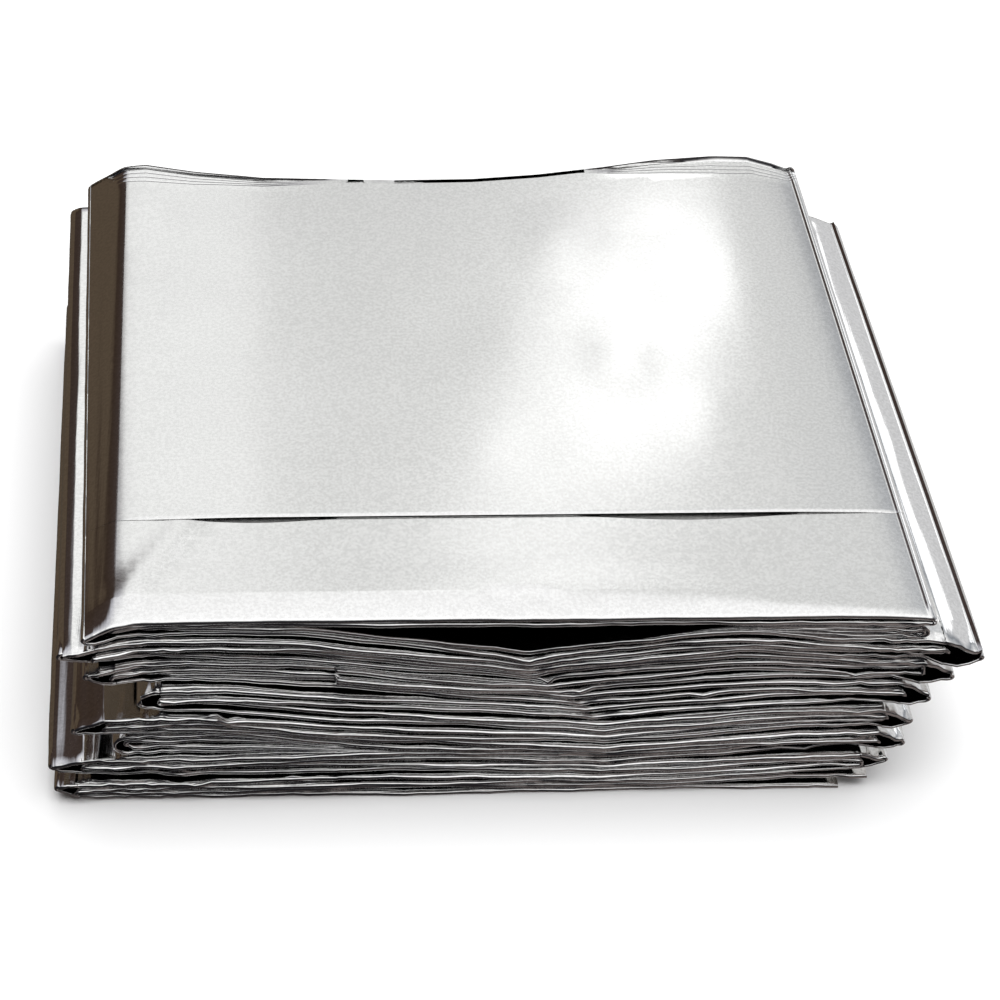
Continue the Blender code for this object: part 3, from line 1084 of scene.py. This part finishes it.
# %% A tree that wrinkles loose film
def wrinkle_tree():
    tree = bpy.data.node_groups.new("wrinkle_loose_film", "GeometryNodeTree")
    face = tree.interface
    face.new_socket("Geometry", in_out="INPUT", socket_type="NodeSocketGeometry")
    for name, value in (("Height", 0.00022), ("Wrinkles per mm", 0.35), ("Fine share", 0.4), ("Seed", 4.0)):
        face.new_socket(name, in_out="INPUT", socket_type="NodeSocketFloat").default_value = value
    face.new_socket("Material", in_out="INPUT", socket_type="NodeSocketMaterial")
    face.new_socket("Geometry", in_out="OUTPUT", socket_type="NodeSocketGeometry")
    node, link = tree.nodes.new, tree.links.new
    given, out = node("NodeGroupInput"), node("NodeGroupOutput")

    def attribute(name, kind):
        read = node("GeometryNodeInputNamedAttribute")
        read.data_type = kind
        read.inputs["Name"].default_value = name
        return read.outputs["Attribute"]

    def maths(operation, first, second):
        step = node("ShaderNodeMath")
        step.operation = operation
        for socket, value in zip(step.inputs, (first, second)):
            if isinstance(value, (int, float)):
                socket.default_value = value
            else:
                link(value, socket)
        return step.outputs[0]

    def noise(stretch, detail):
        squeeze = node("ShaderNodeVectorMath")
        squeeze.operation = "MULTIPLY"
        link(attribute("flat_place", "FLOAT_VECTOR"), squeeze.inputs[0])
        squeeze.inputs[1].default_value = stretch
        texture = node("ShaderNodeTexNoise")
        texture.noise_dimensions = "4D"
        texture.inputs["Detail"].default_value = detail
        link(squeeze.outputs[0], texture.inputs["Vector"])
        link(given.outputs["Seed"], texture.inputs["W"])
        link(given.outputs["Wrinkles per mm"], texture.inputs["Scale"])
        return maths("SUBTRACT", texture.outputs[0], 0.5)

    broad = noise((1.0, 0.35, 1.0), 1.0)
    fine = noise((3.6, 1.3, 1.0), 2.0)
    both = maths("ADD", broad, maths("MULTIPLY", fine, given.outputs["Fine share"]))
    height = maths("MULTIPLY", both, given.outputs["Height"])
    height = maths("MULTIPLY", height, attribute("loose", "FLOAT"))
    move = node("ShaderNodeVectorMath")
    move.operation = "SCALE"
    link(attribute("off", "FLOAT_VECTOR"), move.inputs[0])
    link(maths("MULTIPLY", height, 2.0), move.inputs["Scale"])
    place = node("GeometryNodeSetPosition")
    link(given.outputs["Geometry"], place.inputs["Geometry"])
    link(move.outputs[0], place.inputs["Offset"])
    real = node("GeometryNodeRealizeInstances")
    link(place.outputs[0], real.inputs[0])
    dress = node("GeometryNodeSetMaterial")
    link(real.outputs[0], dress.inputs["Geometry"])
    link(given.outputs["Material"], dress.inputs["Material"])
    link(dress.outputs[0], out.inputs[0])
    print("wrinkle tree:", len(tree.nodes), "nodes")
    return tree


WRINKLES = wrinkle_tree()

# %% [markdown]
# The finish is bare metal on plastic film: full metallic, satin on the flat of the sheet and brighter in
# the folds. The film has a fine mottled grain, and here and there a cloudy patch where it was rubbed.
# Grain, clouds and the streaks of the folds come from one node group.


# %% The film's finish
def film_grain_group():
    group = bpy.data.node_groups.new("film_grain", "ShaderNodeTree")
    face = group.interface
    face.new_socket("Grain per metre", in_out="INPUT", socket_type="NodeSocketFloat").default_value = 1900
    face.new_socket("Clouds per metre", in_out="INPUT", socket_type="NodeSocketFloat").default_value = 34
    face.new_socket("Grain", in_out="OUTPUT", socket_type="NodeSocketFloat")
    face.new_socket("Clouds", in_out="OUTPUT", socket_type="NodeSocketFloat")
    face.new_socket("Streaks", in_out="OUTPUT", socket_type="NodeSocketFloat")
    node, link = group.nodes.new, group.links.new
    given, out, place = node("NodeGroupInput"), node("NodeGroupOutput"), node("ShaderNodeTexCoord")
    for name, detail, result in (("Grain per metre", 3.0, "Grain"), ("Clouds per metre", 4.0, "Clouds")):
        texture = node("ShaderNodeTexNoise")
        texture.inputs["Detail"].default_value = detail
        texture.inputs["Roughness"].default_value = 0.6
        link(place.outputs["Object"], texture.inputs["Vector"])
        link(given.outputs[name], texture.inputs["Scale"])
        link(texture.outputs[0], out.inputs[result])
    drawn_out = node("ShaderNodeVectorMath")
    drawn_out.operation = "MULTIPLY"
    drawn_out.inputs[1].default_value = (900.0, 14.0, 260.0)
    link(place.outputs["Object"], drawn_out.inputs[0])
    streaks = node("ShaderNodeTexNoise")
    streaks.inputs["Scale"].default_value = 1.0
    streaks.inputs["Detail"].default_value = 3.0
    link(drawn_out.outputs[0], streaks.inputs["Vector"])
    link(streaks.outputs[0], out.inputs["Streaks"])
    return group


GRAIN = film_grain_group()
FOLD_SHINE = 0.42  # roughness of the folds, as a share of the level sheet's


def film_finish(name, dull, bright, tint, bump):
    """A metallised film: roughness from bright to dull by its clouds, with streaks of this bump height."""
    made = bpy.data.materials.new(name)
    made.use_nodes = True
    tree = made.node_tree
    node, link = tree.nodes.new, tree.links.new
    shader = tree.nodes["Principled BSDF"]
    shader.inputs["Metallic"].default_value = 1.0
    grain = node("ShaderNodeGroup")
    grain.node_tree = GRAIN
    spread = node("ShaderNodeMapRange")
    spread.inputs["From Min"].default_value, spread.inputs["From Max"].default_value = 0.35, 0.65
    spread.inputs["To Min"].default_value, spread.inputs["To Max"].default_value = bright, dull
    link(grain.outputs["Clouds"], spread.inputs["Value"])
    mottle = node("ShaderNodeMath")
    mottle.operation = "MULTIPLY_ADD"
    mottle.inputs[1].default_value, mottle.inputs[2].default_value = 0.06, -0.03
    link(grain.outputs["Grain"], mottle.inputs[0])
    level = node("ShaderNodeAttribute")
    level.attribute_name = "panel"
    calm = node("ShaderNodeMapRange")
    calm.inputs["To Min"].default_value, calm.inputs["To Max"].default_value = FOLD_SHINE, 1.0
    link(level.outputs["Fac"], calm.inputs["Value"])
    by_place = node("ShaderNodeMath")
    by_place.operation = "MULTIPLY"
    link(spread.outputs[0], by_place.inputs[0])
    link(calm.outputs[0], by_place.inputs[1])
    rough = node("ShaderNodeMath")
    link(by_place.outputs[0], rough.inputs[0])
    link(mottle.outputs[0], rough.inputs[1])
    link(rough.outputs[0], shader.inputs["Roughness"])
    colour = node("ShaderNodeValToRGB")
    colour.color_ramp.elements[0].position, colour.color_ramp.elements[1].position = 0.40, 0.60
    colour.color_ramp.elements[0].color = (*(part * 0.885 for part in tint), 1.0)
    colour.color_ramp.elements[1].color = (*tint, 1.0)
    link(grain.outputs["Grain"], colour.inputs[0])
    link(colour.outputs[0], shader.inputs["Base Color"])
    relief = node("ShaderNodeBump")
    relief.inputs["Strength"].default_value = 1.0
    relief.inputs["Distance"].default_value = bump
    folds_only = node("ShaderNodeMath")
    folds_only.operation = "MULTIPLY_ADD"
    folds_only.inputs[1].default_value, folds_only.inputs[2].default_value = -1.0, 1.0
    link(level.outputs["Fac"], folds_only.inputs[0])
    lines = node("ShaderNodeMath")
    lines.operation = "MULTIPLY"
    link(grain.outputs["Streaks"], lines.inputs[0])
    link(folds_only.outputs[0], lines.inputs[1])
    link(lines.outputs[0], relief.inputs["Height"])
    link(relief.outputs[0], shader.inputs["Normal"])
    print(name, "roughness", bright, "to", dull)
    return made


FILM_FINISH = film_finish("metallised_film_satin", 0.20, 0.15, (0.97, 0.97, 0.965), 0.00002)

# %% [markdown]
# The tree's inputs are set by their sockets' identifiers, the result is turned into a plain mesh, and the
# modifier is taken off. Film creases sharply, so only edges under a set angle are shaded smooth.

# %% The finished film
SETTINGS = {
    "Height": 0.00024,
    "Wrinkles per mm": 0.30,
    "Fine share": 0.45,
    "Seed": 4.0,
    "Material": FILM_FINISH,
}


def finished_film(name, data):
    rough = bpy.data.objects.new(name + "_before_wrinkles", data)
    bpy.context.scene.collection.objects.link(rough)
    modifier = rough.modifiers.new("wrinkles", "NODES")
    modifier.node_group = WRINKLES
    for item in WRINKLES.interface.items_tree:
        if item.item_type == "SOCKET" and item.in_out == "INPUT" and item.name in SETTINGS:
            modifier[item.identifier] = SETTINGS[item.name]
    graph = bpy.context.evaluated_depsgraph_get()
    mesh = bpy.data.meshes.new_from_object(rough.evaluated_get(graph))
    rough.modifiers.remove(modifier)
    bpy.data.objects.remove(rough)
    mesh.name = name
    mesh.shade_smooth()
    mesh.set_sharp_from_angle(angle=math.radians(48))
    piece = bpy.data.objects.new(name, mesh)
    bpy.context.scene.collection.objects.link(piece)
    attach(piece, "root")
    print(name, len(mesh.polygons), "faces, materials", [slot.name for slot in mesh.materials])
    return piece


folded_film = finished_film("folded_film", film_data)
tucked = [finished_film(data.name, data) for data, _ in tucked_data]
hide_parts("foil_blanket")

# %% [markdown]
# The pad lies on a plain pale floor. The floor isn't part of the object. It stays out of the film's
# reflections, because a white floor would fill every fold with light, and the folds would lose their dark
# lines.

# %% The floor
bpy.ops.mesh.primitive_plane_add(size=6.0)
floor = bpy.context.object
floor.name = "floor"
floor_finish = bpy.data.materials.new("pale_floor")
floor_finish.use_nodes = True
floor_shader = floor_finish.node_tree.nodes["Principled BSDF"]
floor_shader.inputs["Base Color"].default_value = (0.93, 0.93, 0.93, 1.0)
floor_shader.inputs["Roughness"].default_value = 0.8
floor_shader.inputs["Specular IOR Level"].default_value = 0.1
floor.data.materials.append(floor_finish)
floor.visible_glossy = False
print("floor:", floor.dimensions.x, "m wide")

# %% [markdown]
# Bright metal shows nothing but its surroundings. The room is a world that is bright overhead and behind
# the pad, light at the right, brown at the left, dim near the horizon and dark on the camera's side, so
# level film turns white and upright film turns dark.


# %% The room
# Colours round the room, from straight down (0) over the horizon (0.5) to straight up (1)
ROOM = {
    "far left": (
        (0.0, (0.060, 0.050, 0.040)),
        (0.50, (0.085, 0.062, 0.042)),
        (0.64, (0.085, 0.062, 0.042)),
        (0.67, (0.038, 0.025, 0.018)),
        (0.80, (0.050, 0.036, 0.032)),
        (0.86, (0.50, 0.50, 0.54)),
        (1.0, (1.0, 1.0, 1.0)),
    ),
    "behind": (
        (0.0, (0.05, 0.045, 0.04)),
        (0.50, (0.03, 0.026, 0.024)),
        (0.66, (0.05, 0.045, 0.05)),
        (0.72, (0.36, 0.35, 0.38)),
        (0.77, (0.70, 0.705, 0.695)),
        (0.87, (0.70, 0.705, 0.695)),
        (0.91, (0.97, 0.97, 0.97)),
        (1.0, (1.05, 1.05, 1.05)),
    ),
    "far right": (
        (0.0, (0.40, 0.38, 0.36)),
        (0.50, (0.62, 0.62, 0.625)),
        (0.67, (0.64, 0.64, 0.65)),
        (0.76, (0.25, 0.265, 0.29)),
        (0.85, (0.60, 0.61, 0.625)),
        (0.91, (0.80, 0.80, 0.80)),
        (1.0, (1.1, 1.1, 1.1)),
    ),
    "ahead": (
        (0.0, (0.030, 0.026, 0.026)),
        (0.55, (0.006, 0.006, 0.008)),
        (0.79, (0.015, 0.015, 0.018)),
        (0.875, (0.080, 0.080, 0.085)),
        (0.945, (1.15, 1.15, 1.15)),
        (1.0, (1.2, 1.2, 1.2)),
    ),
    "ahead right": (
        (0.0, (0.17, 0.145, 0.14)),
        (0.46, (0.13, 0.11, 0.105)),
        (0.60, (0.02, 0.018, 0.018)),
        (0.77, (0.025, 0.025, 0.03)),
        (0.865, (0.19, 0.18, 0.18)),
        (0.935, (1.1, 1.1, 1.1)),
        (1.0, (1.2, 1.2, 1.2)),
    ),
}


def ramp(tree, stops):
    made = tree.nodes.new("ShaderNodeValToRGB")
    elements = made.color_ramp.elements
    while len(elements) < len(stops):
        elements.new(0.5)
    for element, (position, colour) in zip(elements, stops):
        element.position, element.color = position, (*colour, 1.0)
    return made


def room():
    world = bpy.data.worlds.new("room")
    bpy.context.scene.world = world
    world.use_nodes = True
    tree = world.node_tree
    node, link = tree.nodes.new, tree.links.new
    way, split = node("ShaderNodeTexCoord"), node("ShaderNodeSeparateXYZ")
    link(way.outputs["Generated"], split.inputs[0])

    def spread(axis, low, high):
        made = node("ShaderNodeMapRange")
        made.interpolation_type = "SMOOTHSTEP"
        made.inputs["From Min"].default_value, made.inputs["From Max"].default_value = low, high
        link(split.outputs[axis], made.inputs["Value"])
        return made.outputs[0]

    def blend(share, first, second):
        made = node("ShaderNodeMix")
        made.data_type = "RGBA"
        link(share, made.inputs["Factor"])
        link(first, made.inputs["A"])
        link(second, made.inputs["B"])
        return made.outputs["Result"]

    rise = spread("Z", -1.0, 1.0)
    rise.node.interpolation_type = "LINEAR"
    views = {name: ramp(tree, stops) for name, stops in ROOM.items()}
    for made in views.values():
        link(rise, made.inputs[0])
    colour = {name: made.outputs[0] for name, made in views.items()}
    sides = blend(spread("X", -0.25, -0.165), colour["far left"], colour["behind"])
    sides = blend(spread("X", 0.19, 0.37), sides, colour["far right"])
    front = blend(spread("X", -0.02, 0.22), colour["ahead"], colour["ahead right"])
    seen = blend(spread("Y", 0.25, -0.2), sides, front)
    path, plain = node("ShaderNodeLightPath"), node("ShaderNodeRGB")
    plain.outputs[0].default_value = (0.9, 0.9, 0.9, 1.0)
    shown = blend(path.outputs["Is Camera Ray"], seen, plain.outputs[0])
    link(shown, tree.nodes["Background"].inputs["Color"])
    return world


room()

# %% [markdown]
# Five lights: a tall soft panel behind the pad, whose reflection is the bright bloom down the sheet, a
# smaller one beside it for the bright patch, a faint broad one for the left of the sheet, a window for
# the wide ledge at the right, and a broad one overhead that whitens the floor alone.


# %% Lights
def soft_panel(name, place, aim, size, power, roll=0.0):
    light = bpy.data.lights.new(name, "AREA")
    light.shape = "RECTANGLE"
    light.size, light.size_y = size
    light.energy = power
    lamp = bpy.data.objects.new(name, light)
    bpy.context.scene.collection.objects.link(lamp)
    lamp.location = place
    facing = (Vector(aim) - Vector(place)).to_track_quat("-Z", "Y")
    lamp.rotation_euler = (facing @ Quaternion((0.0, 0.0, 1.0), math.radians(roll))).to_euler()
    lamp.visible_camera = False
    print(name, "at", [round(v, 2) for v in place], "m")
    return lamp


soft_panel("bloom_panel", (0.137, 1.25, 1.27), (0.005, 0.0, 0.038), (0.105, 0.60), 0.096, -14.0)
soft_panel("patch_panel", (0.234, 1.22, 0.99), (0.03, -0.002, 0.038), (0.07, 0.21), 0.041)
soft_panel("left_panel", (-0.25, 1.25, 1.02), (-0.05, 0.0, 0.038), (0.30, 1.0), 0.21)
soft_panel("side_window", (0.80, 0.95, 0.62), (0.07, 0.0, 0.033), (0.36, 0.36), 0.30)
overhead = soft_panel("floor_light", (0.2, -0.1, 1.9), (0.0, 0.0, 0.0), (2.0, 2.0), 42.0)
overhead.visible_glossy = False

# %% [markdown]
# The camera looks down at the pad from the front and a little from the left, turned slightly about its
# own axis.

# %% Camera
YAW, PITCH, ROLL = math.radians(5.0), math.radians(42.21), math.radians(2.79)
CAMERA_PLACE = Vector((-26.5 + PLACE[0], -306.9 + PLACE[1], 289.5)) * MM

camera = bpy.data.objects.new("camera", bpy.data.cameras.new("camera"))
bpy.context.scene.collection.objects.link(camera)
camera.data.lens, camera.data.sensor_width = 86.4, 36.0
camera.data.clip_start, camera.data.clip_end = 0.01, 20.0
look = Vector((math.sin(YAW) * math.cos(PITCH), math.cos(YAW) * math.cos(PITCH), -math.sin(PITCH)))
level = Vector((math.cos(YAW), -math.sin(YAW), 0.0))
upright = level.cross(look)
across = math.cos(ROLL) * level + math.sin(ROLL) * upright
upward = -math.sin(ROLL) * level + math.cos(ROLL) * upright
turned = Matrix((across, upward, -look)).transposed().to_4x4()
turned.translation = CAMERA_PLACE
camera.matrix_world = turned
bpy.context.scene.camera = camera
bpy.context.scene.view_settings.view_transform = "Standard"
print("camera", round(CAMERA_PLACE.length, 3), "m from the middle of the foot")
